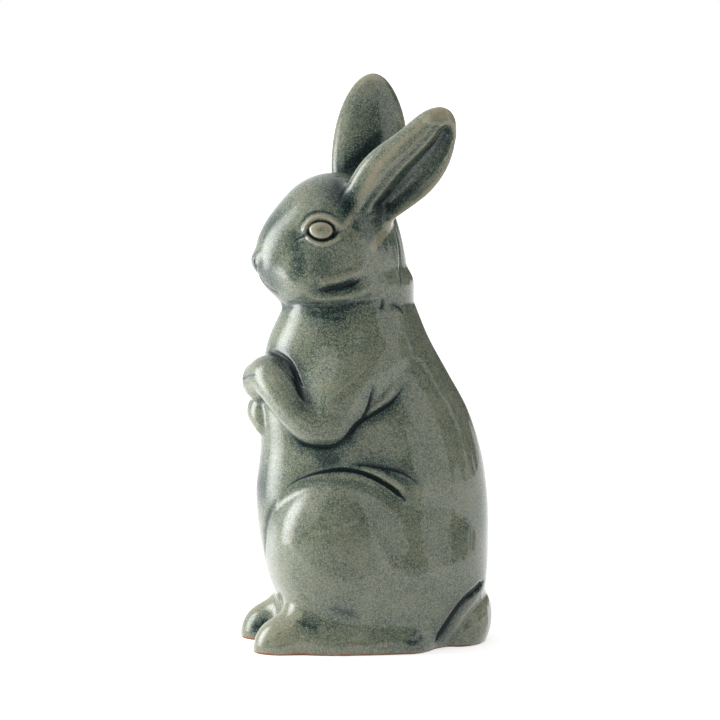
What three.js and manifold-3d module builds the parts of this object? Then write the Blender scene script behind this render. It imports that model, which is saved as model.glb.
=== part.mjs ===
// Standing rabbit figurine: hollow glazed ceramic castings luted together, millimetres, +Z up.
// The rabbit looks along -X, and its left side faces -Y.
import * as THREE from 'three';
import { mergeVertices } from 'three/addons/utils/BufferGeometryUtils.js';
import Module from 'manifold-3d';

const wasm = await Module();
wasm.setup();

// Seams and casting
const seam = 0.3;
const wall = 5;
const drainHole = 16;
const footBevel = 1.2;

// Body, measured from the spine line over the middle of the foot
const neckHeight = 180;
const bellyFront = 59.6;
const backReach = 66;
const bellyHalfWidth = 40;
// Height share, then front, back and side reach as shares of the three sizes above
const trunkProfile = [
  [0.00, 0.79, 0.81, 0.86],
  [0.10, 0.76, 0.92, 0.92],
  [0.20, 0.83, 0.96, 0.97],
  [0.33, 0.95, 0.985, 1.00],
  [0.44, 0.98, 0.975, 1.00],
  [0.58, 0.94, 0.91, 0.96],
  [0.69, 0.95, 0.805, 0.94],
  [0.79, 0.93, 0.655, 0.90],
  [0.89, 0.87, 0.505, 0.80],
  [1.00, 0.72, 0.38, 0.66],
];

// Haunches: a thigh that stands proud at the front and top, and a hip that fades into the back
const haunchOut = 50;
const thighLong = 74;
const thighWide = 62;
const thighTall = 75;
const thighInset = 6.6;
const thighHigh = 56;
const hipLong = 92;
const hipWide = 66;
const hipTall = 76;
const hipInset = 10;
const hipTuck = 6;
const hipSoft = 14;
const creaseSoft = 2;
const fadeSoft = 12;
const fadeFront = -10;
const fadeBack = 45;
const fadeTop = 84;
const fadeLow = 30;

// Hind feet lie flat under the haunches, from the blunt toes back to the heel
const toeProud = 3.9;
const toeLong = 32;
const toeWide = 25;
const toeTall = 33.6;
const toeHigh = 2;
const toeInset = 28;
// Back from the toe's tip, in from the haunch's side, height and radius
const hindFootKeys = [
  [15.5, 28, 4, 11],
  [25.5, 26, 6, 12.5],
  [45.5, 21, 4, 12.5],
  [79.5, 19, 4, 11.5],
];

// Forelegs: the left paw lies over the right one at the middle of the chest
// Back from the belly's front, in from the belly's side, drop from the neck and radius
const upperArmKeys = [
  [61.6, 25, 26, 18],
  [44.6, 15, 43, 16.5],
  [35.6, 12, 59, 13],
];
const leftForearmKeys = [
  [35.6, 12, 59, 13],
  [26.6, 12.5, 59, 11.5],
  [17.6, 16, 51.5, 10.5],
  [11.1, 22, 42.5, 10.5],
  [7.6, 29, 37, 11.3],
  [5, 38, 40, 11.5],
];
const rightForearmKeys = [
  [35.6, 12, 59, 13],
  [24.6, 12, 61, 11],
  [16.1, 18, 63, 9.8],
  [11.1, 28, 60.5, 10],
  [6.6, 37, 56.5, 9.8],
  [6.1, 42, 62.5, 6.5],
];

// Head, measured from the spine and up from the neck seam
const skullBack = -16.8;
const skullHigh = 32;
const skullLong = 68.4;
const skullWide = 61;
const skullTall = 71.6;
const muzzleFront = 58.3;
const muzzleLong = 37.6;
const muzzleWide = 33;
const muzzleTall = 43;
const muzzleHigh = 23.5;
const muzzleSoft = 12;
const noseProud = 2.4;
const noseLong = 11;
const noseWide = 15;
const noseHigh = 22.5;
const neckBack = -11;
const neckHigh = 10;
const neckLong = 66.4;
const neckWide = 54;
const neckTall = 74;
const neckSoft = 8;
const cheekBack = -27;
const cheekSpread = 13;
const cheekHigh = 16;
const cheekLong = 38;
const cheekWide = 31;
const cheekTall = 28;
const cheekSoft = 7;

// Eyes, on the side of the head
const eyeBack = -27.8;
const eyeHigh = 40.4;
const eyeLong = 11.4;
const eyeTall = 8.8;
const eyeBulge = 2.2;
const lidGap = 1.5;
const lidThick = 1.1;
const lidSlant = 1.6;
const lidStretch = 1.2;

// Ears: a blade with a bowed back, a folded front rim and a cup that opens to the side
const earLong = 92;
const earHalfWide = 18.8;
const earBow = 9;
const earFlare = 2.4;
const earFlareAt = 26;
const earFlareLong = 20;
const earFoldAt = -0.52;
const earFoldTipAt = -0.32;
const earFoldHigh = 6.5;
const earCupLong = 88;
const earCupEnd = 16;
const earFrontNarrows = 6;
const earBackNarrows = 7;
const earFlatAt = 22;
const earFlatLong = 18;
// The cup's floor: share of the way from the folded rim to the back rim, then height
const earCupProfile = [
  [0.00, 6.5],
  [0.08, 6.2],
  [0.14, 4.5],
  [0.28, 4.2],
  [0.33, 3.2],
  [0.43, -1.2],
  [0.57, -3.8],
  [0.74, -3.4],
  [0.87, -0.2],
  [0.95, 1.2],
  [1.00, 0.0],
];
const earRootHigh = 41;
const earRootSpread = 15;
const leftEar = { rootBack: -9, tipBack: 34.8, tipSpread: 41, tipHigh: 105.2, turn: 34, flat: 4 };
const rightEar = { rootBack: -0.5, tipBack: 11.8, tipSpread: 41, tipHigh: 116.5, turn: 6, flat: -0.5 };

// Tail
const tailProud = 0.8;
const tailThick = 35;
const tailWide = 54;
const tailTall = 52;
const tailLean = 26;
const tailHigh = 7;

// Fineness of the skins, closest over the crease at the haunch's top
const bodySides = 68;
const bodyRings = 33;
const creaseLow = 62;
const creaseHigh = 100;
const hollowSides = 30;
const headSides = 36;
const earSides = 36;
const limbSides = 18;
const cutPast = 2;

const UP = new THREE.Vector3(0, 0, 1);

function vec(x, y, z) {
  return new THREE.Vector3(x, y, z);
}

// Soft join of two distances
function join(a, b, soft) {
  const h = THREE.MathUtils.clamp(0.5 + (b - a) / (2 * soft), 0, 1);
  return b + (a - b) * h - soft * h * (1 - h);
}

// 0 at start and 1 at end, smooth between them
function ramp(start, end, value) {
  const t = THREE.MathUtils.clamp((value - start) / (end - start), 0, 1);
  return t * t * (3 - 2 * t);
}

// Distance to an egg of three diameters, near enough for finding its skin
function egg(p, centre, long, wide, tall) {
  const radii = vec(long, wide, tall).multiplyScalar(0.5);
  const q = p.clone().sub(centre);
  const near = q.clone().divide(radii).length() + 1e-9;
  const slope = q.divide(radii).divide(radii).length() + 1e-9;
  return near * (near - 1) / slope;
}

// Smooth value of one column of a table of rows that starts with the place along it
function smooth(table, place, column) {
  const last = table.length - 1;
  const at = THREE.MathUtils.clamp(place, table[0][0], table[last][0]);
  let i = 0;
  while (i < last - 1 && at > table[i + 1][0]) i += 1;
  const slope = (k) => {
    const before = table[Math.max(k - 1, 0)];
    const after = table[Math.min(k + 1, last)];
    return (after[column] - before[column]) / (after[0] - before[0]);
  };
  const [a, b] = [table[i], table[i + 1]];
  const width = b[0] - a[0];
  const t = (at - a[0]) / width;
  return (1 + 2 * t) * (1 - t) ** 2 * a[column] + t * (1 - t) ** 2 * width * slope(i)
    + t * t * (3 - 2 * t) * b[column] + t * t * (t - 1) * width * slope(i + 1);
}

function trunk(p) {
  const rise = p.z / neckHeight;
  const front = bellyFront * smooth(trunkProfile, rise, 1);
  const back = backReach * smooth(trunkProfile, rise, 2);
  const side = bellyHalfWidth * smooth(trunkProfile, rise, 3);
  return egg(p, vec((back - front) / 2, 0, p.z), front + back, 2 * side, neckHeight);
}

function mirrored(p) {
  return vec(p.x, Math.abs(p.y), p.z);
}

function thigh(p) {
  const centre = vec(thighInset - bellyFront + thighLong / 2, haunchOut - thighWide / 2, thighHigh);
  return egg(mirrored(p), centre, thighLong, thighWide, thighTall);
}

function hip(p) {
  const centre = vec(backReach - hipInset - hipLong / 2, haunchOut - hipTuck - hipWide / 2, hipTall / 2);
  return egg(mirrored(p), centre, hipLong, hipWide, hipTall);
}

// The thigh's crease is sharp at the front and top and fades toward the back and the foot
function bodyClay(p) {
  const faded = Math.max(ramp(fadeFront, fadeBack, p.x), ramp(fadeTop, fadeLow, p.z));
  return join(join(trunk(p), hip(p), hipSoft), thigh(p), creaseSoft + (fadeSoft - creaseSoft) * faded);
}

const skullAt = vec(skullBack, 0, neckHeight + skullHigh);

function headClay(p) {
  const q = mirrored(p);
  const muzzleAt = vec(muzzleLong / 2 - muzzleFront, 0, neckHeight + muzzleHigh);
  const neckAt = vec(neckBack, 0, neckHeight + neckHigh);
  const cheekAt = vec(cheekBack, cheekSpread, neckHeight + cheekHigh);
  let clay = egg(q, skullAt, skullLong, skullWide, skullTall);
  clay = join(clay, egg(q, muzzleAt, muzzleLong, muzzleWide, muzzleTall), muzzleSoft);
  clay = join(clay, egg(q, neckAt, neckLong, neckWide, neckTall), neckSoft);
  return join(clay, egg(q, cheekAt, cheekLong, cheekWide, cheekTall), cheekSoft);
}

// Outermost point of the clay on a ray from inside it
function skinPoint(clay, from, ray, reach) {
  const at = (d) => from.clone().addScaledVector(ray, d);
  let outer = reach;
  while (outer > 1 && clay(at(outer - 1)) > 0) outer -= 1;
  let inner = outer - 1;
  for (let i = 0; i < 20; i += 1) {
    const middle = (inner + outer) / 2;
    if (clay(at(middle)) > 0) outer = middle;
    else inner = middle;
  }
  return at(inner);
}

// One ring of skin points about a spine place, tilted toward the axis where an end closes
function skinRing(clay, place, sides, reach) {
  const points = [];
  for (let i = 0; i < sides; i += 1) {
    const angle = 2 * Math.PI * i / sides;
    const flat = vec(Math.cos(angle), Math.sin(angle), 0).multiplyScalar(Math.cos(place.tilt));
    const ray = flat.addScaledVector(UP, Math.sin(place.tilt));
    points.push(skinPoint(clay, place.at, ray, reach));
  }
  return points;
}

// Closed skin through rings that run along an axis, with a pole at each end
function closeSkin(firstPole, rings, lastPole) {
  const sides = rings[0].length;
  const points = [firstPole, ...rings.flat(), lastPole];
  const last = points.length - 1;
  const faces = [];
  for (let i = 0; i < sides; i += 1) {
    const next = (i + 1) % sides;
    faces.push(0, 1 + next, 1 + i);
    faces.push(last, last - sides + i, last - sides + next);
    for (let r = 0; r + 1 < rings.length; r += 1) {
      const low = 1 + r * sides;
      const high = low + sides;
      faces.push(low + i, low + next, high + next, low + i, high + next, high + i);
    }
  }
  const vertProperties = new Float32Array(points.flatMap((p) => p.toArray()));
  return new wasm.Manifold(new wasm.Mesh({ numProp: 3, vertProperties, triVerts: new Uint32Array(faces) }));
}

function evenly(from, to, count) {
  return Array.from({ length: count + 1 }, (_, i) => from + (to - from) * i / count);
}

// Skin from one level to another about the upright spine, flat at both ends
function uprightSkin(clay, levels, sides, bevel) {
  const reach = backReach + haunchOut;
  const rings = levels.map((z, i) => {
    const grown = i === 0 ? (p) => clay(p) + bevel : clay;
    return skinRing(grown, { at: vec(0, 0, z), tilt: 0 }, sides, reach);
  });
  return closeSkin(vec(0, 0, levels[0]), rings, vec(0, 0, levels[levels.length - 1]));
}

function bodySkin(grow) {
  const third = bodyRings / 3;
  const levels = [
    0,
    ...evenly(footBevel, creaseLow, third),
    ...evenly(creaseLow, creaseHigh, third).slice(1),
    ...evenly(creaseHigh, neckHeight, third).slice(1),
  ];
  return uprightSkin((p) => bodyClay(p) - grow, levels, bodySides, footBevel);
}

// Skin about an upright stretch of axis, closed by a fan of tilted rings at each end
function roundSkin(clay, from, to, steps, sides, fan, reach) {
  const tilts = evenly(0, Math.PI / 2, fan + 1).slice(1, -1);
  const places = [
    ...tilts.map((tilt) => ({ at: from, tilt: -tilt })).reverse(),
    ...evenly(0, 1, steps).map((share) => ({ at: from.clone().lerp(to, share), tilt: 0 })),
    ...tilts.map((tilt) => ({ at: to, tilt })),
  ];
  const rings = places.map((place) => skinRing(clay, place, sides, reach));
  const lowest = skinPoint(clay, from, UP.clone().negate(), reach);
  return closeSkin(lowest, rings, skinPoint(clay, to, UP, reach));
}

// Everything above a level, wide enough to hold the whole part
function above(level) {
  const side = 4 * (neckHeight + backReach);
  const slab = new THREE.BoxGeometry(side, side, side);
  slab.translate(0, 0, level + side / 2);
  return solidOf(slab);
}

function solidOf(geometry) {
  const plain = geometry.clone();
  plain.deleteAttribute('normal');
  plain.deleteAttribute('uv');
  const merged = mergeVertices(plain, 1e-4);
  return new wasm.Manifold(new wasm.Mesh({
    numProp: 3,
    vertProperties: new Float32Array(merged.attributes.position.array),
    triVerts: new Uint32Array(merged.index.array),
  }));
}

// Turned solid about the upright axis from a profile of [radius, height] that starts and ends on it
function lathe(profile, sides) {
  const points = profile.map(([r, z]) => new THREE.Vector2(r, z));
  return solidOf(new THREE.LatheGeometry(points, sides).rotateX(Math.PI / 2));
}

function eggSolid(centre, long, wide, tall, across, down) {
  const ball = new THREE.SphereGeometry(0.5, across, down).rotateX(Math.PI / 2);
  ball.scale(long, wide, tall);
  ball.translate(centre.x, centre.y, centre.z);
  return solidOf(ball);
}

// Limb of varying radius along a smooth curve, with a round end at each side
function limb(centres, radii, grow) {
  const path = new THREE.CatmullRomCurve3(centres, false, 'catmullrom', 0.5);
  const girth = new THREE.SplineCurve(radii.map((r, i) => new THREE.Vector2(i, r + grow)));
  const steps = 3 * (centres.length - 1);
  const ends = 4;
  const rings = [];
  const ring = (share, slide, shrink) => {
    const along = path.getTangent(share);
    const side = along.clone().cross(UP).normalize();
    const front = side.clone().cross(along).negate();
    const radius = girth.getPoint(share).y;
    const middle = path.getPoint(share).addScaledVector(along, radius * slide);
    const points = [];
    for (let i = 0; i < limbSides; i += 1) {
      const angle = 2 * Math.PI * i / limbSides;
      const out = side.clone().multiplyScalar(Math.cos(angle)).addScaledVector(front, Math.sin(angle));
      points.push(middle.clone().addScaledVector(out, radius * shrink));
    }
    return points;
  };
  const quarter = evenly(0, Math.PI / 2, ends).slice(1, -1);
  for (const tilt of [...quarter].reverse()) rings.push(ring(0, -Math.sin(tilt), Math.cos(tilt)));
  for (const share of evenly(0, 1, steps)) rings.push(ring(share, 0, 1));
  for (const tilt of quarter) rings.push(ring(1, Math.sin(tilt), Math.cos(tilt)));
  const first = path.getPoint(0).addScaledVector(path.getTangent(0), -girth.getPoint(0).y);
  const last = path.getPoint(1).addScaledVector(path.getTangent(1), girth.getPoint(1).y);
  return closeSkin(first, rings, last);
}

function hindFoot(side, grow) {
  const toeTip = -(bellyFront + toeProud);
  const centres = hindFootKeys.map(([back, inward, high]) => (
    vec(toeTip + back, side * (haunchOut - inward), high)
  ));
  const toeAt = vec(toeTip + toeLong / 2, side * (haunchOut - toeInset), toeHigh);
  const toes = eggSolid(toeAt, toeLong + 2 * grow, toeWide + 2 * grow, toeTall + 2 * grow, 18, 14);
  return limb(centres, hindFootKeys.map((key) => key[3]), grow).add(toes).intersect(above(0));
}

function armLimb(keys, side, grow) {
  const centres = keys.map(([back, inward, drop]) => (
    vec(back - bellyFront, side * (bellyHalfWidth - inward), neckHeight - drop)
  ));
  return limb(centres, keys.map((key) => key[3]), grow);
}

function foreleg(side, forearmKeys, grow) {
  return armLimb(upperArmKeys, side, grow).add(armLimb(forearmKeys, side, grow));
}

function body() {
  const levels = evenly(wall, neckHeight - wall, 15);
  const hollow = uprightSkin((p) => bodyClay(p) + wall, levels, hollowSides, 0);
  const [low, high] = [-cutPast, wall + cutPast];
  const drain = lathe([[0, low], [drainHole / 2, low], [drainHole / 2, high], [0, high]], hollowSides);
  return bodySkin(0).add(hindFoot(-1, 0)).add(hindFoot(1, 0)).subtract(hollow).subtract(drain);
}

function headSkin(grow) {
  const low = vec(skullBack, 0, neckHeight);
  return roundSkin((p) => headClay(p) - grow, low, skullAt, 10, headSides, 9, muzzleFront + skullTall);
}

function nose() {
  const centre = vec(noseLong / 2 - muzzleFront - noseProud, 0, neckHeight + noseHigh);
  return eggSolid(centre, noseLong, noseWide, noseLong, 16, 10);
}

// Eyeball and almond-shaped lids on the side of the head
function eye(side) {
  const high = neckHeight + eyeHigh;
  const onSkin = (x, z) => skinPoint(headClay, vec(x, 0, z), vec(0, side, 0), skullWide);
  const middle = onSkin(eyeBack, high);
  const ball = eggSolid(middle, eyeLong, 2 * eyeBulge, eyeTall, 14, 8);
  const corners = evenly(0, 2 * Math.PI, 12).slice(1).map((angle) => {
    const x = eyeBack + (eyeLong / 2 + lidGap) * lidStretch * Math.cos(angle);
    const slant = lidSlant * Math.cos(angle) * Math.sin(angle) ** 2;
    return onSkin(x, high + (eyeTall / 2 + lidGap) * Math.sin(angle) - slant);
  });
  const round = new THREE.CatmullRomCurve3(corners, true);
  const section = new THREE.Shape().absarc(0, 0, lidThick, 0, 2 * Math.PI);
  const lids = new THREE.ExtrudeGeometry(section, { steps: 24, curveSegments: 3, extrudePath: round });
  return ball.add(solidOf(lids));
}

function head() {
  const plain = headSkin(0).intersect(above(neckHeight + seam));
  return plain.add(nose()).add(eye(-1)).add(eye(1));
}

// Place and directions of an ear: its long axis, its width and the way its cup opens
function earFrame(ear, side) {
  const tip = vec(ear.tipBack, side * ear.tipSpread, neckHeight + ear.tipHigh);
  const root = vec(ear.rootBack, side * earRootSpread, neckHeight + earRootHigh);
  const axis = tip.clone().sub(root).normalize();
  const across = vec(1, 0, 0).applyAxisAngle(vec(0, 1, 0), THREE.MathUtils.degToRad(ear.turn));
  across.addScaledVector(axis, -across.dot(axis)).normalize();
  const open = axis.clone().cross(across).multiplyScalar(side);
  return { tip, axis, across, open };
}

// 1 at the middle of a smooth hump and near 0 beyond its width
function hump(value, middle, width) {
  return Math.exp(-(((value - middle) / width) ** 2));
}

// Half width of the blade: its front side is flatter near the tip, and its back side flares
function earHalf(ear, fromTip, onBack) {
  if (onBack) {
    const flare = earFlare * hump(fromTip, earFlareAt, earFlareLong);
    return earHalfWide + flare - earBackNarrows * ramp(earLong - earFlareAt * 2, earCupLong, fromTip);
  }
  const flat = ear.flat * hump(fromTip, earFlatAt, earFlatLong);
  return earHalfWide - flat - earFrontNarrows * ramp(earLong / 2, earLong, fromTip);
}

// Height of the blade's front: up the outside of the fold, then down into the cup
function earFront(share, fromTip) {
  const fold = earFoldTipAt + (earFoldAt - earFoldTipAt) * ramp(earLong / 8, earLong / 2, fromTip);
  if (share < fold) return earFoldHigh * Math.sqrt(1 - ((fold - share) / (1 + fold)) ** 2);
  const inside = (share - fold) / (1 - fold);
  const filled = earFoldHigh * Math.sqrt(Math.max(0, 1 - inside ** 2));
  const closed = Math.max(ramp(earCupLong - earCupEnd, earCupLong, fromTip), ramp(earLong / 8, 0, fromTip));
  return THREE.MathUtils.lerp(smooth(earCupProfile, inside, 1), filled, closed);
}

function earSection(ear, frame, side, fromTip) {
  const leaf = Math.sqrt(1 - (1 - Math.min(fromTip / (earLong / 2), 1)) ** 2);
  const points = [];
  for (let i = 0; i < earSides; i += 1) {
    const angle = 2 * Math.PI * i / earSides;
    const share = Math.cos(angle);
    const round = Math.sin(angle) * side;
    const depth = round > 0 ? earFront(share, fromTip) * leaf : earBow * Math.sqrt(leaf) * round;
    const point = frame.tip.clone().addScaledVector(frame.axis, -fromTip);
    const wide = earHalf(ear, fromTip, share > 0) * leaf * share;
    points.push(point.addScaledVector(frame.across, wide).addScaledVector(frame.open, depth));
  }
  return points;
}

function earSolid(ear, side) {
  const frame = earFrame(ear, side);
  const round = evenly(0.12, 1, 11).map((share) => earLong / 2 * (1 - Math.cos(share * Math.PI / 2)));
  const stations = [...round, ...evenly(earLong / 2, earLong, 9).slice(1)].reverse();
  const rings = stations.map((fromTip) => earSection(ear, frame, side, fromTip));
  const root = frame.tip.clone().addScaledVector(frame.axis, -earLong);
  return closeSkin(root, rings, frame.tip);
}

// Egg that leans back against the trunk, placed by how far it stands behind it
function tailSkin() {
  const lean = THREE.MathUtils.degToRad(tailLean);
  const behind = Math.hypot(tailTall / 2 * Math.sin(lean), tailThick / 2 * Math.cos(lean));
  const upright = eggSolid(vec(0, 0, 0), tailThick, tailWide, tailTall, 24, 16);
  return upright.rotate([0, tailLean, 0]).translate([backReach + tailProud - behind, 0, tailHigh]);
}

// What neighbours are cut by, a seam larger than the piece itself
const bodyCut = bodySkin(seam).add(hindFoot(-1, seam)).add(hindFoot(1, seam));
const headCut = headSkin(seam);
const leftForelegCut = foreleg(-1, leftForearmKeys, seam);
const solids = {
  body: body(),
  head: head(),
  left_ear: earSolid(leftEar, -1).subtract(headCut),
  right_ear: earSolid(rightEar, 1).subtract(headCut),
  left_foreleg: foreleg(-1, leftForearmKeys, 0).subtract(bodyCut),
  right_foreleg: foreleg(1, rightForearmKeys, 0).subtract(bodyCut).subtract(leftForelegCut),
  tail: tailSkin().subtract(bodyCut).intersect(above(0)),
};

// The part stands with the middle of its outline over the origin
const boxes = Object.values(solids).map((solid) => solid.boundingBox());
const centreX = -(Math.min(...boxes.map((b) => b.min[0])) + Math.max(...boxes.map((b) => b.max[0]))) / 2;

// Glaze colour of each casting, darker where the glaze lies thick and warmer where it is thin
const glaze = { roughness: 0.18, metalness: 0 };
const colours = {
  body: 0x6f7f76,
  head: 0x73837a,
  left_ear: 0x7d877a,
  right_ear: 0x5f7069,
  left_foreleg: 0x84897a,
  right_foreleg: 0x7c8378,
  tail: 0x75837a,
};

const part = new THREE.Group();

function place(name, solid) {
  const { vertProperties, triVerts } = solid.getMesh();
  const geometry = new THREE.BufferGeometry();
  geometry.setAttribute('position', new THREE.BufferAttribute(new Float32Array(vertProperties), 3));
  geometry.setIndex(new THREE.BufferAttribute(new Uint32Array(triVerts), 1));
  geometry.translate(centreX, 0, 0);
  geometry.computeVertexNormals();
  const mesh = new THREE.Mesh(geometry, new THREE.MeshStandardMaterial({ color: colours[name], ...glaze }));
  mesh.name = name;
  part.add(mesh);
}

for (const [name, solid] of Object.entries(solids)) place(name, solid);

export default part;
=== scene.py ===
# Looks of the rabbit figurine: one crackle-glazed skin over the castings of the frame.
from math import cos, radians, sin

import bmesh
import bpy
import numpy as np
from mathutils import Matrix, Vector

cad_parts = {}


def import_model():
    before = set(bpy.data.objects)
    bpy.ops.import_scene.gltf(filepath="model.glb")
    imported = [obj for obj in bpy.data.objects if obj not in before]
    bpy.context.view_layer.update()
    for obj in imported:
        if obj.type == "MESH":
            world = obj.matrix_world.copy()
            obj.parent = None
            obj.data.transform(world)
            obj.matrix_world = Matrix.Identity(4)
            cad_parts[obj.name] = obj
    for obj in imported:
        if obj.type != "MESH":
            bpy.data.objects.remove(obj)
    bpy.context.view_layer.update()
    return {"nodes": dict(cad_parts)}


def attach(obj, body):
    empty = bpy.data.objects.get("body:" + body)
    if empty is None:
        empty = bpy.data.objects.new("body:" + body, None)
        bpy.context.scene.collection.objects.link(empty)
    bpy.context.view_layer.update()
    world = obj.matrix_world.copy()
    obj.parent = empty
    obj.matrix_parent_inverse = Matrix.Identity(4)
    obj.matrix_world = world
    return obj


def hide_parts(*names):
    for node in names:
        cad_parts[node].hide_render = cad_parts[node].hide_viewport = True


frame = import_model()

# Sizes in millimetres: the rabbit faces -x, |y| is used where both sides are alike
MM = 0.001
GRID = 1.15
LOW = (-76, -60, -6)
HIGH = (76, 60, 304)


# Soft arithmetic on signed distances
def join(a, b, soft):
    """Union of two solids with a fillet about soft wide."""
    h = np.clip(0.5 + 0.5 * (b - a) / soft, 0, 1)
    return b * (1 - h) + a * h - soft * h * (1 - h)


def keep(a, b, soft):
    """Intersection of two solids with a rounded edge."""
    return -join(-a, -b, soft)


def ramp(start, end, v):
    """0 at start, 1 at end, smooth between them."""
    t = np.clip((v - start) / (end - start), 0, 1)
    return t * t * (3 - 2 * t)


def bell(v, width, middle=0):
    """1 in the middle, falling off over width on both sides."""
    return np.exp(-(((v - middle) / width) ** 2))


def oval(p, radii):
    """Distance to an ellipse or ellipsoid round the origin."""
    q = p / radii
    near = np.sqrt((q ** 2).sum(-1)) + 1e-9
    slope = np.sqrt(((q / radii) ** 2).sum(-1)) + 1e-9
    return near * (near - 1) / slope


def egg(p, centre, radii):
    """Distance to an ellipsoid."""
    return oval(p - np.array(centre, float), np.array(radii, float))


def both_sides(p):
    """The points folded over to the side where y is positive."""
    q = p.copy()
    q[:, 1] = np.abs(q[:, 1])
    return q


def curve(points, count):
    """Points evenly spaced in parameter along a smooth curve through the given ones."""
    p = np.array(points, float)
    q = np.vstack([2 * p[0] - p[1], p, 2 * p[-1] - p[-2]])
    spans = np.minimum(np.arange(count + 1) / count * (len(p) - 1), len(p) - 1 - 1e-9)
    i = spans.astype(int)
    t = (spans - i)[:, None]
    a, b, c, d = q[i], q[i + 1], q[i + 2], q[i + 3]
    cubic = (3 * b - a - 3 * c + d) * t ** 3
    return 0.5 * (2 * b + (c - a) * t + (2 * a - 5 * b + 4 * c - d) * t ** 2 + cubic)


def in_box(p, low, high):
    return ((p > np.array(low)) & (p < np.array(high))).all(1)


def within(p, low, high, shape, beyond=40.0):
    """The shape's distance inside a box, and a large one outside it, which saves time."""
    out = np.full(len(p), beyond)
    inside = in_box(p, low, high)
    if inside.any():
        out[inside] = shape(p[inside])
    return out


def limb(p, keys, count=24, reach=20):
    """A rounded limb along a smooth curve through keys of (x, y, z, radius)."""
    line = curve(keys, count)

    def tapers(q):
        best = np.full(len(q), 1e3)
        for a, b in zip(line[:-1], line[1:]):
            along = b[:3] - a[:3]
            t = np.clip(((q - a[:3]) @ along) / (along @ along), 0, 1)
            radius = a[3] + t * (b[3] - a[3])
            best = np.minimum(best, np.sqrt(((q - a[:3] - t[:, None] * along) ** 2).sum(-1)) - radius)
        return best

    margin = reach + line[:, 3].max()
    return within(p, line[:, :3].min(0) - margin, line[:, :3].max(0) + margin, tapers)


# The trunk: its reach forward, back and sideways, and shares of each at shares of the neck's height
NECK = 180.0
FRONT = 59.6
BACK = 66.0
SIDE = 40.0
TRUNK_TOP = 196.0
TRUNK_TOP_SOFT = 8
RISE = (0.00, 0.10, 0.20, 0.33, 0.44, 0.58, 0.69, 0.79, 0.89, 1.00)
FRONT_SHARES = (0.79, 0.76, 0.865, 0.95, 0.98, 0.94, 0.95, 0.93, 0.87, 0.72)
BACK_SHARES = (0.81, 0.92, 0.96, 0.985, 0.975, 0.91, 0.805, 0.655, 0.505, 0.38)
SIDE_SHARES = (0.86, 0.92, 0.97, 1.00, 1.00, 0.96, 0.94, 0.90, 0.80, 0.66)


def smooth_through(x, y, v):
    """Cubic through the points (x, y), held level past the ends."""
    x = np.array(x, float)
    y = np.array(y, float)
    slope = np.gradient(y, x)
    v = np.clip(v, x[0], x[-1])
    i = np.clip(np.searchsorted(x, v, side="right") - 1, 0, len(x) - 2)
    h = x[i + 1] - x[i]
    t = (v - x[i]) / h
    start = (1 + 2 * t) * (1 - t) ** 2 * y[i] + t * (1 - t) ** 2 * h * slope[i]
    return start + t * t * (3 - 2 * t) * y[i + 1] + t * t * (t - 1) * h * slope[i + 1]


def trunk(p):
    """Distance to an upright form that is oval at every height."""
    rise = p[:, 2] / NECK
    front = FRONT * smooth_through(RISE, FRONT_SHARES, rise)
    back = BACK * smooth_through(RISE, BACK_SHARES, rise)
    side = SIDE * smooth_through(RISE, SIDE_SHARES, rise)
    u = p[:, 0] - (back - front) / 2
    radii = np.stack([(front + back) / 2, side], -1)
    return keep(oval(np.stack([u, p[:, 1]], -1), radii), p[:, 2] - TRUNK_TOP, TRUNK_TOP_SOFT)


# How softly one form joins another in a crease, and how much more where they flow together
CREASE_SOFT = 2
FADE_SOFT = 10

HIP_AT = (10, 11, 38)
HIP = (46, 33, 38)
HIP_SOFT = 14
THIGH_AT = (-16, 19, 57)
THIGH = (37, 30.9, 40.5)
# The thigh's crease fades toward the back and toward the foot, between these places
FADES_BACK = (-10, 45)
FADES_DOWN = (84, 30)
# The upper arm's crease fades above a line that rises toward the back
FADES_UP = (118, 162)
SHOULDER_RISE = 0.35

# Legs and paws: points (x, y, z, radius) along their middle lines
LEFT_PAW = [(-24, 28, 121, 13), (-33, 27.5, 121, 11.5), (-42, 24, 128.5, 10.5), (-48.5, 18, 137.5, 10.5),
            (-52, 11, 143, 11.3), (-54.6, 2, 140, 11.4)]
RIGHT_PAW = [(-24, 28, 121, 13), (-35, 28, 119, 11), (-43.5, 22, 117, 9.8), (-48.5, 12, 119.5, 10),
             (-53, 3, 123.5, 9.8), (-53.5, -2, 117.5, 6.5)]
UPPER_ARM = [(2, 15, 154, 18), (-15, 25, 137, 16.5), (-24, 28, 121, 13)]
HIND_FOOT = [(-48, 22, 4, 11), (-38, 24, 6, 12.5), (-18, 29, 4, 12.5), (16, 31, 4, 11.5)]
TOES_AT = (-47.5, 22, 2)
TOES = (15.9, 12.5, 16.8)
INSTEP_AT = (-36, 21, 13.5)
INSTEP = (14, 12, 11.8)
TOES_SOFT = 3
INSTEP_SOFT = 6
FOOT_SOFT = 9


def haunches(p, q):
    """The trunk with the hips blended in and the thighs standing proud at the front and top."""
    x, z = p[:, 0], p[:, 2]
    faded = np.maximum(ramp(*FADES_BACK, x), ramp(*FADES_DOWN, z))
    d = join(trunk(p), egg(q, HIP_AT, HIP), HIP_SOFT)
    return join(d, egg(q, THIGH_AT, THIGH), CREASE_SOFT + FADE_SOFT * faded)


def feet(q):
    """A hind foot with toes and an instep."""
    foot = join(limb(q, HIND_FOOT), egg(q, TOES_AT, TOES), TOES_SOFT)
    return join(foot, egg(q, INSTEP_AT, INSTEP), INSTEP_SOFT)


def forelegs(p):
    """Left and right: the left paw lies over the right one."""
    return limb(p * (1, -1, 1), LEFT_PAW, count=32), limb(p, RIGHT_PAW, count=32)


TAIL_AT = (47.4, 0, 7)
TAIL = (17.4, 27, 26)
TAIL_LEAN = radians(26)


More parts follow.
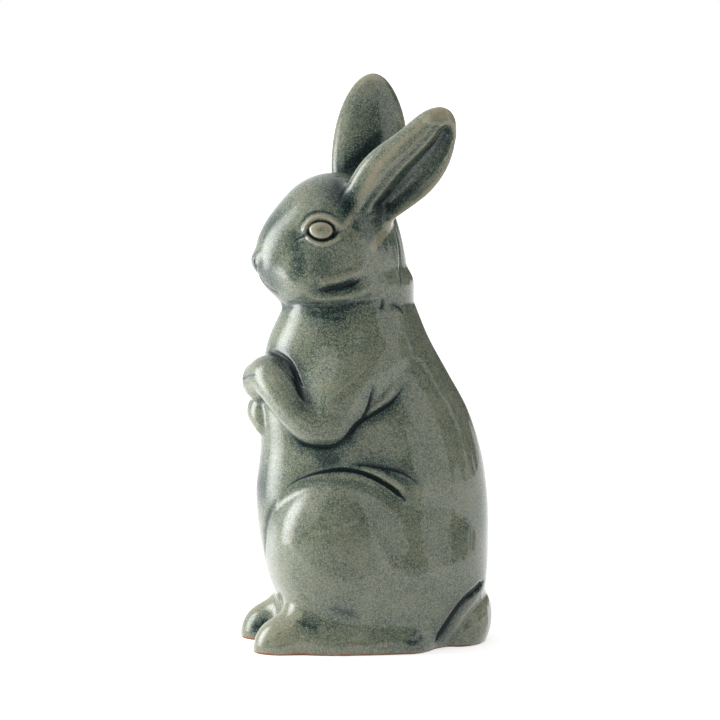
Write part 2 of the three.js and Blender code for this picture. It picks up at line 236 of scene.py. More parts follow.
def tail(p):
    """An egg that leans back against the trunk."""
    d = p - TAIL_AT
    across = d[:, 0] * cos(TAIL_LEAN) - d[:, 2] * sin(TAIL_LEAN)
    along = d[:, 0] * sin(TAIL_LEAN) + d[:, 2] * cos(TAIL_LEAN)
    return egg(np.stack([across, d[:, 1], along], -1), (0, 0, 0), TAIL)


# The head: skull, then muzzle, nose, throat and cheeks, as centre, radii and how softly each joins
SKULL = ((-16.8, 0, 212), (34.2, 30.5, 35.8))
ON_SKULL = [
    ((-39.5, 0, 203.5), (18.8, 16.5, 21.5), 12),
    ((-55.2, 0, 202.5), (5.5, 7.5, 5.5), 3),
    ((-11, 0, 190), (33.2, 27, 37), 8),
    ((-27, 13, 196), (19, 15.5, 14), 7),
]
HEAD_LOW = 176
HEAD_LOW_SOFT = 4
HEAD_SOFT = 4
HEAD_BOX = ((-80, -1, 150), (40, 50, 262))


def head(q):
    """The skull with what grows out of it, cut off inside the neck."""
    d = egg(q, *SKULL)
    for centre, radii, soft in ON_SKULL:
        d = join(d, egg(q, centre, radii), soft)
    return keep(d, HEAD_LOW - q[:, 2], HEAD_LOW_SOFT)


# The ears, whose blades are half eggs with a cup cut into the front
EAR_LONG = 92.0
EAR_HALF = 18.8
EAR_BACK = 9.0
EAR_CREST = 6.5
EAR_FRONT = 10.5
EAR_CUP_LONG = 88.0
# What the half width loses toward the root, and between which distances from the tip
NEAR_NARROWS = 6.0
NEAR_ROOT = (46, 92)
FAR_NARROWS = 9.0
FAR_ROOT = (40, 88)
# What it gains on the far side, and the length and place of this gain and of the near side's loss
FLARE = 2.4
FLARE_DOWN = (20, 26)
FLAT_DOWN = (18, 22)
# The folded rim stands highest at this share of the way across, which shifts toward the root
CREST_AT = -0.32
CREST_SHIFT = 0.2
CREST_SHIFTS = (12, 46)
# The cup runs out over the last part of its length, and the blade is left full at the tip
CUP_END = 16
TIP_FULL = 7
TIP_ENDS = (2, 13)
# The cup's floor is a height, not a distance, so it counts less
CUP_COUNTS = 0.7
CUP_SOFT = 1.2
ROOT_SOFT = 4
EAR_SOFT = 5
EAR_REACH = 34
# The cup's floor at shares of the way from the folded rim to the far one, over the blade's middle
CUP_AT = (0, 0.08, 0.14, 0.22, 0.28, 0.33, 0.43, 0.57, 0.74, 0.87, 0.95, 1)
CUP_HEIGHT = (6.5, 6.2, 4.5, 4, 4.2, 3.2, -1.2, -3.8, -3.4, -0.2, 1.2, 0)
EARS = {
    "left": dict(tip=(35.6, -41, 282.4), root=(-9, -15, 221), turn=34, side=-1, flat=4.0),
    "right": dict(tip=(11.8, 41, 296.5), root=(-0.5, 15, 221), turn=6, side=1, flat=-0.5),
}


def ear_frame(ear):
    """Tip, direction from root to tip, direction across, and the way the cup opens."""
    tip = np.array(ear["tip"], float)
    axis = tip - np.array(ear["root"], float)
    axis /= np.linalg.norm(axis)
    turn = radians(ear["turn"])
    across = np.array([cos(turn), 0, -sin(turn)])
    across -= axis * (across @ axis)
    across /= np.linalg.norm(across)
    return tip, axis, across, np.cross(axis, across) * ear["side"]


def ear_place(p, ear):
    """Places across, out of the cup, and down from the tip."""
    tip, axis, across, opened = ear_frame(ear)
    d = p - tip
    return d @ across, d @ opened, -(d @ axis)


def ear_leaf(down):
    """The blade's half width at a distance from the tip, as a share of the full one."""
    rounded = np.clip(down / (EAR_LONG / 2), 0.02, 1)
    return np.sqrt(np.clip(1 - (1 - rounded) ** 2, 0.01, 1))


def ear_crest(down):
    """Share of the way across at which the folded rim stands highest."""
    return CREST_AT - CREST_SHIFT * ramp(*CREST_SHIFTS, down)


def ear_share(across, down, flat):
    """Place across as a share of the half width, which flares at mid length on the far side."""
    far = across > 0
    narrower = np.where(far, FAR_NARROWS * ramp(*FAR_ROOT, down), NEAR_NARROWS * ramp(*NEAR_ROOT, down))
    wider = np.where(far, FLARE * bell(down, *FLARE_DOWN), -flat * bell(down, *FLAT_DOWN))
    half = EAR_HALF - narrower + wider
    return across / (half * ear_leaf(down)), half


def ear_face(share, down):
    """Height of the blade's front at a share of the way across: a folded rim, then the cup."""
    crest = ear_crest(down)
    outside = np.clip((crest - share) / (1 + crest), 0, 1)
    inside = np.clip((share - crest) / (1 - crest), 0, 1)
    fold = EAR_CREST * np.sqrt(1 - outside ** 2)
    cup = smooth_through(CUP_AT, CUP_HEIGHT, inside)
    shallow = EAR_CREST * np.sqrt(np.clip(1 - inside ** 2, 0, 1))
    cup = cup + (shallow - cup) * ramp(EAR_CUP_LONG - CUP_END, EAR_CUP_LONG, down)
    tip = TIP_FULL * (1 - ramp(*TIP_ENDS, down))
    return np.where(share < crest, fold, cup) * ear_leaf(down) + tip


def ear_blade(p, ear):
    """Distance to half an egg that is cut off at the root and hollowed by the cup."""
    across, out, down = ear_place(p, ear)
    share, half = ear_share(across, down, ear["flat"])
    deep = np.where(out > 0, EAR_FRONT, EAR_BACK)
    radii = np.stack([half, deep, np.full_like(half, EAR_LONG / 2)], -1)
    q = np.stack([across, out, np.minimum(down - EAR_LONG / 2, 0)], -1)
    cup = (out - ear_face(share, down)) * CUP_COUNTS
    blade = keep(oval(q, radii), cup, CUP_SOFT)
    return keep(blade, down - EAR_LONG, ROOT_SOFT)


def ear_shape(p, ear):
    ends = np.array([ear["tip"], ear["root"]], float)
    return within(p, ends.min(0) - EAR_REACH, ends.max(0) + EAR_REACH, lambda q: ear_blade(q, ear))


# The drain hole under the foot, with the start of the hollow above it
BORE_RADIUS = 8
BORE_TOP = 12
HOLLOW_AT = (0, 0, 22)
HOLLOW = (26, 20, 15)
DRAIN_BOX = ((-40, -40, -20), (40, 40, 60))
DRAIN_EDGE = 1
FOOT_EDGE = 1.2


def drain(p):
    bore = np.maximum(np.hypot(p[:, 0], p[:, 1]) - BORE_RADIUS, p[:, 2] - BORE_TOP)
    return join(bore, egg(p, HOLLOW_AT, HOLLOW), DRAIN_EDGE)


def rabbit(p):
    """Signed distance to the whole fired form."""
    q = both_sides(p)
    x, z = p[:, 0], p[:, 2]
    d = join(haunches(p, q), feet(q), FOOT_SOFT)
    faded = ramp(*FADES_UP, z - SHOULDER_RISE * x)
    d = join(d, limb(q, UPPER_ARM), CREASE_SOFT + FADE_SOFT * faded)
    for piece in (tail(p), *forelegs(p)):
        d = join(d, piece, CREASE_SOFT)
    d = join(d, within(q, *HEAD_BOX, head), HEAD_SOFT)
    for ear in EARS.values():
        d = join(d, ear_shape(p, ear), EAR_SOFT)
    d = keep(d, -z, FOOT_EDGE)
    return keep(d, -within(p, *DRAIN_BOX, drain), DRAIN_EDGE)


# Meshing: coarse cells from a point to the surface at most, and points worked out at a time
BAND = 1.9
BATCH = 400000


def surface(field, low, high, step, coarse=4):
    """One point per cell that the surface crosses and one quad per crossed grid edge."""
    low = np.array(low, float)
    count = np.ceil((np.array(high, float) - low) / (step * coarse)).astype(int) + 1
    wide = step * coarse
    axes = [low[i] + wide * np.arange(count[i]) for i in range(3)]
    rough = field(np.stack(np.meshgrid(*axes, indexing="ij"), -1).reshape(-1, 3)).reshape(count)
    places = [np.round(np.arange((n - 1) * coarse + 1) / coarse).astype(int) for n in count]
    values = rough[np.ix_(*places)].copy()
    near = np.argwhere(np.abs(values) < BAND * wide)
    for part in np.array_split(near, len(near) // BATCH + 1):
        values[tuple(part.T)] = field(low + step * part)
    return net(values < 0, values, low, step)


def net(inside, values, low, step):
    """Vertices and outward quads of the surface nets of a grid of distances."""
    corners = [(i, j, k) for i in (0, 1) for j in (0, 1) for k in (0, 1)]
    shape = inside.shape
    full = np.zeros([n - 1 for n in shape], np.int8)
    for c in corners:
        full += inside[tuple(slice(o, n - 1 + o) for o, n in zip(c, shape))]
    crossed = (full > 0) & (full < 8)
    cells = np.argwhere(crossed)
    number = -np.ones(crossed.shape, np.int64)
    number[crossed] = np.arange(len(cells))
    total = np.zeros((len(cells), 3))
    hits = np.zeros(len(cells))
    for a in corners:
        for axis in range(3):
            if a[axis]:
                continue
            b = np.array(a)
            b[axis] = 1
            va = values[tuple((cells + a).T)]
            vb = values[tuple((cells + b).T)]
            cut = (va < 0) != (vb < 0)
            t = np.where(cut, va / (va - vb + 1e-30), 0)
            total[cut] += (np.array(a) + t[:, None] * (b - np.array(a)))[cut]
            hits[cut] += 1
    points = low + step * (cells + total / hits[:, None])
    return points, np.concatenate([quads(inside, number, axis) for axis in range(3)])


def quads(inside, number, axis):
    """A quad around each grid edge along axis that the surface crosses, turned outward."""
    first = [slice(1, -1)] * 3
    second = [slice(1, -1)] * 3
    first[axis] = slice(0, -1)
    second[axis] = slice(1, None)
    a = inside[tuple(first)]
    edges = np.argwhere(a != inside[tuple(second)])
    outward = a[tuple(edges.T)]
    base = edges + [0 if i == axis else 1 for i in range(3)]
    u, w = (axis + 1) % 3, (axis + 2) % 3
    around = []
    for du, dw in ((0, 0), (1, 0), (1, 1), (0, 1)):
        cell = base.copy()
        cell[:, u] -= du
        cell[:, w] -= dw
        around.append(number[tuple(cell.T)])
    ring = np.stack(around, 1)
    ring[~outward] = ring[~outward][:, ::-1]
    return ring


def gradient(field, p, reach=0.05):
    """Slope of a field at points, from its values a little to both sides."""
    g = np.empty_like(p)
    for i in range(3):
        d = np.zeros(3)
        d[i] = reach
        g[:, i] = (field(p + d) - field(p - d)) / (2 * reach)
    return g


def settle(field, p, rounds, most=0.6):
    """Points moved onto the surface, and their outward normals."""
    for _ in range(rounds):
        g = gradient(field, p)
        move = np.clip(field(p) / ((g ** 2).sum(-1) + 1e-9), -most, most)
        p = p - g * move[:, None]
    return p, g / np.sqrt((g ** 2).sum(-1, keepdims=True) + 1e-12)


# Modelled lines, as (x, |y|, z) points on the clay, on both sides where they name none
NEAR = (-1,)
FAR = (1,)
# Each crease is pressed (deep) and darkened (dark, soft): pooled glaze together with painted shade
CREASES = {
    "neck": dict(wide=1.7, deep=1.1, dark=0.35, soft=0.3, fade=(0.1, 0.3), line=[
        (-48, 0, 178), (-44.6, 8, 179), (-39.1, 15.5, 181), (-31.4, 21.6, 180.7), (-23.1, 25.1, 180.5),
        (-14.7, 27, 181.6), (-5.9, 26.8, 182.9), (3, 25, 184)]),
    "neck fold": dict(wide=0.9, deep=0.7, dark=0.7, soft=0.3, fade=(0.3, 0.3), line=[
        (4.2, 25, 185), (3.6, 25.2, 181), (2.6, 25.4, 177)]),
    "nape fold": dict(wide=0.9, deep=0.6, dark=0.6, soft=0.2, fade=(0.3, 0.3), line=[
        (6.8, 23.6, 181.6), (11, 21.4, 180.4), (14.7, 19.8, 178.2), (16.2, 20.5, 174.7)]),
    "nape seam": dict(wide=0.7, deep=0.3, dark=0.4, soft=0.1, fade=(0.2, 0.3), line=[
        (12, 17, 222), (13.7, 15, 214), (14.5, 15.7, 206.3), (14.6, 17.5, 196.1), (13.5, 20.1, 186.1)]),
    "jowl": dict(wide=1.6, deep=1.5, dark=1.0, soft=0.5, fade=(0.4, 0.25), line=[
        (-35, 25.3, 189), (-27, 27.9, 189.3), (-20.1, 28.5, 190.4), (-13.4, 28.4, 192.4),
        (-6.8, 28.2, 195.1)]),
    "haunch": dict(wide=1.0, deep=1.7, dark=1.5, soft=0.4, fade=(0.55, 0.1), line=[
        (-49.6, 20.6, 80.6), (-44, 24.7, 88.3), (-36.3, 29.6, 93.1), (-27.6, 33.3, 95.8),
        (-18.6, 36.3, 96.9), (-9.3, 38.1, 95.3), (-0.6, 39.1, 91.5), (7.5, 39.2, 86.1),
        (14.8, 39.2, 79.6)]),
    "haunch front": dict(wide=1.5, deep=0.8, dark=0.35, soft=0.2, fade=(0.25, 0.5), line=[
        (-49.6, 20.6, 80.6), (-53.6, 14.9, 71.5), (-55, 10.3, 61.4), (-54.4, 6.6, 51.1),
        (-51.2, 0.8, 40.5)]),
    "belly fold": dict(wide=1.5, deep=1.0, dark=0.75, soft=0.5, fade=(0.3, 0.4), line=[
        (-15, 36.8, 99.5), (-10.6, 37.4, 99.5), (-3.6, 38.2, 98.6), (3.6, 38.6, 97.4),
        (10.7, 38.6, 95.5), (17, 38.1, 91.8), (22.1, 37.1, 86.3)]),
    "arm edge": dict(wide=1.05, deep=1.4, dark=1.35, soft=0.6, fade=(0.35, 0.25), line=[
        (-49.4, 18.7, 121), (-44.4, 23.8, 115.3), (-38.6, 27.5, 110.1), (-31, 31.6, 108.6),
        (-23.1, 35, 109.2), (-16.6, 37, 114.3), (-11, 37.2, 120.6), (-3.9, 37.4, 125.1),
        (3.6, 36.7, 129.2), (9.9, 35, 135), (15.2, 32.6, 141.6)]),
    "arm fold": dict(wide=0.85, deep=1.1, dark=1.1, soft=0.3, fade=(0.15, 0.5), line=[
        (-9.1, 37.4, 122.3), (-6.5, 37.8, 127.1), (-4.8, 38.4, 132.2), (-4.1, 38.9, 137.7),
        (-3.5, 38.8, 143.1)]),
    "forearm top": dict(sides=NEAR, wide=1.3, deep=0.9, dark=1.3, soft=0.6, fade=(0.15, 0.25), line=[
        (-54.5, 3, 155), (-50.2, 11.7, 155.3), (-46.7, 17.6, 153.8), (-43.8, 21.6, 150.7),
        (-41.8, 24, 146.5), (-40.9, 26.2, 141.9), (-40, 29.5, 137.5), (-38.5, 32.9, 133.3),
        (-36.3, 35.3, 129.3)]),
    "paw": dict(sides=NEAR, wide=0.7, deep=0.5, dark=0.5, soft=0.1, fade=(0.2, 0.5), line=[
        (-66, 2, 141), (-65, 8, 143), (-62, 14, 144.5), (-57, 20, 144)]),
    "tail": dict(wide=1.9, deep=1.8, dark=1.6, soft=0.4, fade=(0.1, 0.15), line=[
        (58, 16, 34), (54.8, 24.8, 30.7), (48.8, 30.2, 27.6), (44.1, 33, 23.4), (40.2, 33.4, 18.5),
        (36.9, 33, 13.2), (33.4, 32, 8.1), (28.7, 33.2, 3.8)]),
    # Pooled glaze and painted shade where the ears meet the head, with nothing pressed
    "between ears": dict(sides=FAR, wide=3.2, deep=0.0, dark=0.8, soft=0.5, fade=(0.3, 0.3), line=[
        (-20, 10, 244), (-18, 12.4, 244.6), (-10.3, 17.1, 246), (1.3, 17.8, 255.7), (9.5, 21, 264),
        (14, 23, 269)]),
    "ear root": dict(sides=NEAR, wide=3.4, deep=0.0, dark=0.8, soft=0.5, fade=(0.3, 0.3), line=[
        (-20, 7, 246), (-17.6, 17.4, 241.4), (-15.6, 23.6, 235.8), (-12.8, 26.2, 231), (-9, 27, 226)]),
    # Painted shade under the chin, with nothing pressed
    "under neck": dict(wide=4.0, deep=0.0, dark=0.45, soft=0.2, fade=(0.4, 0.3), line=[
        (-38, 15, 178), (-29, 21.5, 177), (-20, 25, 177), (-12, 27, 178)]),
    "foot top": dict(wide=1.2, deep=0.3, dark=0.45, soft=0.3, fade=(0.3, 0.4), line=[
        (-41.9, 29.4, 16.6), (-38.3, 32.2, 15.5), (-34.5, 34.1, 14.3), (-30.4, 35.4, 13.7)]),
    "foot faint": dict(wide=2.4, deep=0.4, dark=0.45, soft=0.2, fade=(0.4, 0.4), line=[
        (-27, 37.6, 25.4), (-21, 39.3, 24.2), (-15.2, 40.1, 22), (-9.5, 39.5, 18.6)]),
    "heel": dict(wide=1.4, deep=0.5, dark=0.35, soft=0.3, fade=(0.3, 0.3), line=[
        (13.3, 41, 10.2), (15.7, 41.8, 7.2), (19.9, 40.9, 7.8), (21.7, 39.3, 11.3)]),
}
# Raised lines where the glaze lies thin and light; the light colour also paints the highlights along them
RIDGES = {
    "jowl": dict(wide=2.0, high=0.9, thin=0.55, fade=(0.3, 0.3), line=[
        (-31, 28.3, 193), (-27.3, 28.8, 193.7), (-19.4, 29.5, 195.6), (-11.5, 29, 198.1),
        (-4.2, 27.8, 202)]),
    "chin": dict(wide=1.7, high=0.7, thin=0.55, fade=(0.3, 0.3), line=[
        (-36.3, 22.1, 185.5), (-27.4, 25.3, 184.7), (-18.2, 27.3, 185.8), (-9, 27.7, 187.9),
        (-0.2, 26.7, 191.6)]),
    "belly": dict(wide=1.3, high=0.9, thin=1.0, fade=(0.3, 0.3), line=[
        (-12, 38, 98), (-7, 38.3, 97.2), (0.8, 39.2, 93.8), (9, 39.3, 88.2), (16.5, 39.2, 81.6)]),
    "haunch": dict(wide=1.5, high=0.3, thin=0.5, fade=(0.4, 0.4), line=[
        (-34, 32, 90.5), (-27, 34.5, 93), (-18.6, 37.3, 94), (-9.3, 39.4, 92.4), (-1, 40.5, 88.6),
        (6.5, 40.6, 83.5)]),
    "arm": dict(wide=1.6, high=0.8, thin=0.8, fade=(0.3, 0.3), line=[
        (-7, 38.3, 125), (0, 38, 130.8), (6, 37, 136.2), (11.5, 35, 142.5)]),
    "tail": dict(wide=1.5, high=0.4, thin=0.6, fade=(0.3, 0.3), line=[
        (57, 22, 29.5), (61, 19.5, 22), (62, 19, 13), (60, 21, 6)]),
    "tail edge": dict(wide=1.6, high=0.3, thin=0.8, fade=(0.3, 0.3), line=[
        (58.5, 19, 30), (49.1, 27.2, 19.6), (43.8, 28.2, 12.4), (39.5, 27.2, 5.8)]),
}


def projected(line, side, field, count=40):
    """A line's points on one side, moved onto the surface."""
    points = curve(line, count) * (1, side, 1)
    return settle(field, points, rounds=8, most=1.5)[0]


def placed(lines, field):
    """Each line's settings and its points on the clay, once for each of its sides."""
    for settings in lines.values():
        for side in settings.get("sides", NEAR + FAR):
            yield settings, projected(settings["line"], side, field)


def to_line(p, line, reach):
    """Distance to a line and how far along it, for points within reach."""
    best = np.full(len(p), 1e3)
    along = np.zeros(len(p))
    close = in_box(p, line.min(0) - reach, line.max(0) + reach)
    q = p[close]
    near = best[close]
    where = along[close]
    for i, (a, b) in enumerate(zip(line[:-1], line[1:])):
        ab = b - a
        t = np.clip(((q - a) @ ab) / (ab @ ab + 1e-12), 0, 1)
        d = np.sqrt(((q - a - t[:, None] * ab) ** 2).sum(-1))
        nearer = d < near
        near[nearer] = d[nearer]
        where[nearer] = (i + t[nearer]) / (len(line) - 1)
    best[close] = near
    along[close] = where
    return best, along


def tapered(along, start, end):
    """1 along a line, falling to 0 over a share of its length at the start and end."""
    return ramp(0, start, along) * ramp(1, 1 - end, along)


# Share of a crease's width left at its ends, and how much wider it is pressed than it is dark
ENDS_WIDE = 0.4
PRESSED_WIDER = 1.2
# Width of the soft pooled glaze and painted shade round a crease, and what the crease's own width adds to
# it
SOFT_POOL_AND_SHADE_WIDE = (2.5, 2.2)


def creases(p, field):
    """Depth of the pressed lines, and the glaze that pools in them together with painted shade."""
    sink, pool_and_shade, soft = np.zeros((3, len(p)))
    for c, line in placed(CREASES, field):
        d, along = to_line(p, line, reach=5 + 5 * c["wide"])
        ends = tapered(along, *c["fade"])
        wide = c["wide"] * (ENDS_WIDE + (1 - ENDS_WIDE) * ends)
        sink += c["deep"] * ends * bell(d, PRESSED_WIDER * wide)
        pool_and_shade = np.maximum(pool_and_shade, c["dark"] * ends ** 0.5 * bell(d, wide))
        soft_wide = SOFT_POOL_AND_SHADE_WIDE[0] + SOFT_POOL_AND_SHADE_WIDE[1] * c["wide"]
        soft = np.maximum(soft, c["soft"] * ends ** 0.5 * bell(d, soft_wide))
    return sink, pool_and_shade + soft * (1 - np.clip(pool_and_shade, 0, 1))


def ridges(p, field):
    """Height of the raised lines, and how thin the glaze lies on them, whose light colour also paints
    their highlights.
    """
    high, thin = np.zeros((2, len(p)))
    for r, line in placed(RIDGES, field):
        d, along = to_line(p, line, reach=5 * r["wide"])
        raised = tapered(along, *r["fade"]) * bell(d, r["wide"])
        high += r["high"] * raised
        thin = np.maximum(thin, r["thin"] * raised)
    return high, thin


# How far across and out the ears' glaze reaches, and where down from the tip it begins and ends
ON_EAR = 1.3
ON_EAR_OUT = (-4, 14)
ON_EAR_FROM = (-4, 2)
ON_EAR_TO = (EAR_LONG + 2, EAR_LONG - 10)
# Places across the ear's face from the folded rim (0) to the far one (1), by distance from the tip
EAR_DOWN = (1, 13, 26, 35, 47, 57, 69)
RIM_AT = (-0.31, -0.25, -0.22, -0.14, -0.04, 0, 0.04)
SHELF_EDGE_AT = (0.60, 0.42, 0.14, 0.12, 0.12, 0.12, 0.12)
RUN_AT = (0.70, 0.62, 0.42, 0.40, 0.36, 0.26, 0.17)
# Thin glaze on the rims, on the shelf's edge and at the tip: width or span, and how thin
RIM_WIDE = 0.075
FAR_RIM = ((0.86, 0.97), 0.75)
SHELF_EDGE = (0.03, 0.6)
TIP_THIN = ((9, 2), 0.8)
# Pooled glaze: width and middle across, then down the same or where it starts, and how dark
CUP_POOL = ((0.26, 0.60), (24, 56), 0.7)
ROOT_POOL = ((0.25, 0.3), (54, 76), 0.5)
RUN_POOL = (0.075, (6, 16), 0.32)
# Pooled glaze all over the cup's floor: where it starts and ends across, and how dark
FLOOR_POOL = ((0.3, 0.45), (0.95, 0.8), 0.25)


def ear_glaze(p):
    """Glaze that runs off the ears' rims and pools in their cups."""
    pool_and_shade, thin = np.zeros((2, len(p)))
    for ear in EARS.values():
        across, out, down = ear_place(p, ear)
        share, half = ear_share(across, down, ear["flat"])
        crest = ear_crest(down)
        on_ear = (np.abs(share) < ON_EAR) * (out > ON_EAR_OUT[0]) * (out < ON_EAR_OUT[1])
        on_ear = on_ear * ramp(*ON_EAR_FROM, down) * ramp(*ON_EAR_TO, down)
        inside = (share - crest) / (1 - crest)
        lines = (RIM_AT, SHELF_EDGE_AT, RUN_AT)
        rim, shelf, run = [inside - smooth_through(EAR_DOWN, at, down) for at in lines]
        (span, rim_thin), (shelf_wide, shelf_thin), (tip_span, tip_thin) = FAR_RIM, SHELF_EDGE, TIP_THIN
        rims = np.maximum(bell(rim, RIM_WIDE), rim_thin * ramp(*span, inside))
        rims = np.maximum(rims, shelf_thin * bell(shelf, shelf_wide))
        thin = np.maximum(thin, on_ear * np.maximum(rims, tip_thin * ramp(*tip_span, down)))
        place, length, dark = CUP_POOL
        deep = dark * bell(inside, *place) * bell(down, *length)
        place, span, dark = ROOT_POOL
        root = dark * bell(inside, *place) * ramp(*span, down)
        wide, span, dark = RUN_POOL
        line = dark * bell(run, wide) * ramp(*span, down)
        starts, ends, dark = FLOOR_POOL
        bottom = dark * ramp(*starts, inside) * ramp(*ends, inside)
        pool_and_shade = np.maximum(pool_and_shade, on_ear * np.maximum.reduce([deep, root, line + bottom]))
    return pool_and_shade, thin


# The eyes, drawn on the side of the head in (x, z)
EYE = (-28.5, 220.2)
EYE_HALF = (6, 4.4)
EYE_PROUD = 2.2
# The dip in the eyeball's middle
EYE_DIP = 0.3
EYE_DIP_WIDE = 0.42
# Thin glaze on the eyeball: how thin, then its width and place as shares of the way out
EYE_THIN = 0.9
EYE_THIN_AT = (0.34, 0.72)
# The ring pressed round the eyeball: its width, depth and darkness above, and how much more below
RING_AT = 1.1
RING = ((0.07, 0.09), (0.5, 0.8), (0.6, 0.8))
# The eyes begin between these places sideways and upward
EYES_BESIDE = (12, 18)
EYES_ABOVE = (200, 206)
UPPER_LID = [(-37.6, 218.2), (-35.6, 222), (-32.9, 225.4), (-29, 227), (-25, 226.6),
             (-21.5, 224.4), (-18.2, 222.1), (-13.8, 221.7)]
LOWER_LID = [(-36.1, 217), (-34.2, 215.7), (-31.4, 214), (-27.5, 212.9), (-23.6, 214.1),
             (-20.4, 216.4), (-17.1, 219.5)]
BROW = [(-38.8, 220.8), (-37.3, 224), (-34.3, 227.7), (-29.7, 229.6), (-25, 229.3), (-20.8, 227.2),
        (-15.9, 224.6)]
TEAR = [(-41.8, 214.8), (-39.6, 215.8), (-37.3, 217), (-35.1, 218)]
BACK_CORNER = [(-23.9, 215.8), (-21.9, 217.8), (-18.9, 220.3)]

# Height and width of the lids, how thin their glaze is, and the share of the darkening round the eyeball
# that they clear
LIDS = ((UPPER_LID, 1.6, 1.15), (LOWER_LID, 0.9, 0.9))
LID_THIN = 0.95
LID_CLEARS = 0.9
# Depth, width and darkness of the lines
EYE_LINES = ((BROW, 0.4, 0.8, 0.6), (TEAR, 0.6, 0.9, 0.8), (BACK_CORNER, 0.9, 0.9, 1.1))


def eyes(p):
    """Height of the eyeballs and lids, with the pooled and the thin glaze round them."""
    flat = p[:, [0, 2]]
    beside = ramp(*EYES_BESIDE, np.abs(p[:, 1])) * ramp(*EYES_ABOVE, p[:, 2])
    q = (flat - EYE) / EYE_HALF
    e = np.sqrt((q ** 2).sum(-1))
    ball = np.sqrt(np.clip(1 - e ** 2, 0, 1))
    rise = EYE_PROUD * ball - EYE_DIP * bell(e, EYE_DIP_WIDE)
    under = 0.5 + 0.5 * ramp(0.5, -0.6, q[:, 1])
    wide, deep, dark = [above + more * under for above, more in RING]
    ring = bell(e, wide, RING_AT)
    rise -= deep * ring
    pool_and_shade = dark * ring
    thin = EYE_THIN * bell(e, *EYE_THIN_AT) * (e < 1)
    for line, height, wide in LIDS:
        d, along = to_line(flat, curve(line, count=24), reach=8)
        fold = tapered(along, 0.15, 0.25) * bell(d, wide)
        rise += height * fold
        thin = np.maximum(thin, LID_THIN * fold)
        pool_and_shade *= 1 - LID_CLEARS * fold
    for line, depth, wide, dark in EYE_LINES:
        d, along = to_line(flat, curve(line, count=24), reach=8)
        pressed = tapered(along, 0.25, 0.25) * bell(d, wide)
        rise -= depth * pressed
        pool_and_shade = np.maximum(pool_and_shade, dark * pressed)
    return rise * beside, pool_and_shade * beside, thin * beside


# The nose and mouth, as (x, |y|, z) points
NOSTRIL = [(-59.6, 4.6, 205), (-60, 4.3, 202.6), (-58.9, 4.6, 199.7), (-58.6, 2.4, 197.6),
           (-58.4, 0, 197)]
MOUTH = [(-57.6, 1.5, 196), (-56.2, 3, 192.5), (-53.2, 5, 188.8), (-50, 7.5, 186.6),
         (-46.5, 11, 186)]
MUZZLE_HOLLOW = [(-41.9, 17.8, 224.3), (-41.1, 21.6, 216.1), (-39.4, 23.4, 207.9), (-39.8, 24.4, 199.3),
                 (-43.1, 20.7, 191.2)]

# Depth, width and darkness, and how much wider they are dark than pressed
FACE_LINES = ((NOSTRIL, 0.7, 0.7, 0.7), (MOUTH, 0.6, 0.9, 0.55), (MUZZLE_HOLLOW, 0.4, 4, 0.42))
DARK_WIDER = 1.3


def nose_and_mouth(p, field):
    """Depth of the nostrils, the mouth and the hollow beside the muzzle, and their pooled glaze."""
    q = both_sides(p)
    sink, pool_and_shade = np.zeros((2, len(p)))
    for line, depth, wide, dark in FACE_LINES:
        d, along = to_line(q, projected(line, 1, field), reach=4 * wide)
        ends = tapered(along, 0.2, 0.2)
        sink += depth * ends * bell(d, wide)
        pool_and_shade = np.maximum(pool_and_shade, dark * ends * bell(d, DARK_WIDER * wide))
    return sink, pool_and_shade


# Broad places where the glaze has run together, and painted shade under the elbow, between the feet, at
# the belly's edge and over the muzzle and forehead, as centre, radius and strength
POOLS_AND_SHADE = [
    ((-9, 8, 243), 11, 0.6),
    ((4, 16, 252), 9, 0.35),
    ((8, 24, 272), 13, 0.25),
    # Painted shade under the elbow
    ((-26, 34, 103), 8, 0.7),
    ((-39, 32, 131), 6, 0.5),
    ((6, 27, 214), 8, 0.3),
    ((-30, 28, 205), 10, 0.25),
    ((-48, 6, 30), 7, 0.3),
    # Painted shade between the feet
    ((-55, 10, 8), 7, 0.9),
    # Painted shade that dims the highlights on the belly's edge, the muzzle and the forehead
    ((-57, 3, 86), 14, 0.7),
    ((-55, 7, 197), 12, 0.55),
    ((-50, 6, 222), 12, 0.45),
    ((-16, 4, 247), 10, 0.5),
]
# Broad places where it is thin: the feet and the tail
THIN_PATCHES = [
    ((-46, 22, 15), 17, 0.45),
    ((56, 12, 22), 17, 0.35),
]


def patches(p, spots):
    """Strength of round patches given as ((x, y, z), radius, strength), on both sides."""
    q = both_sides(p)
    found = np.zeros(len(p))
    for centre, radius, strength in spots:
        d = np.sqrt(((q - np.array(centre, float)) ** 2).sum(-1))
        found = np.maximum(found, strength * bell(d, radius))
    return found


# Hollows found from the form: rounds of smoothing, depth that counts in full, and glaze that pools
HOLLOWS = ((6, 0.5, 0.175), (30, 1.4, 0.15), (120, 4, 0.15))
# Ridges after the same rounds: height, the share of it that doesn't count yet, and how thin
EDGES = ((0.45, 0, 0.5), (2.2, 0.2, 0.3))
POOL_MOST = 1.4


def relief(points, normals, edges, rounds):
    """How far points lie below (+) or above (-) a copy of the surface smoothed so many rounds."""
    ends = np.concatenate([edges, edges[:, ::-1]])
    size = len(points)
    count = np.bincount(ends[:, 0], minlength=size)[:, None]
    smooth = points.copy()
    done = 0
    found = []
    for target in rounds:
        while done < target:
            total = [np.bincount(ends[:, 0], smooth[ends[:, 1], i], size) for i in range(3)]
            smooth = 0.5 * smooth + 0.5 * np.stack(total, 1) / np.maximum(count, 1)
            done += 1
        found.append(((smooth - points) * normals).sum(-1))
    return found


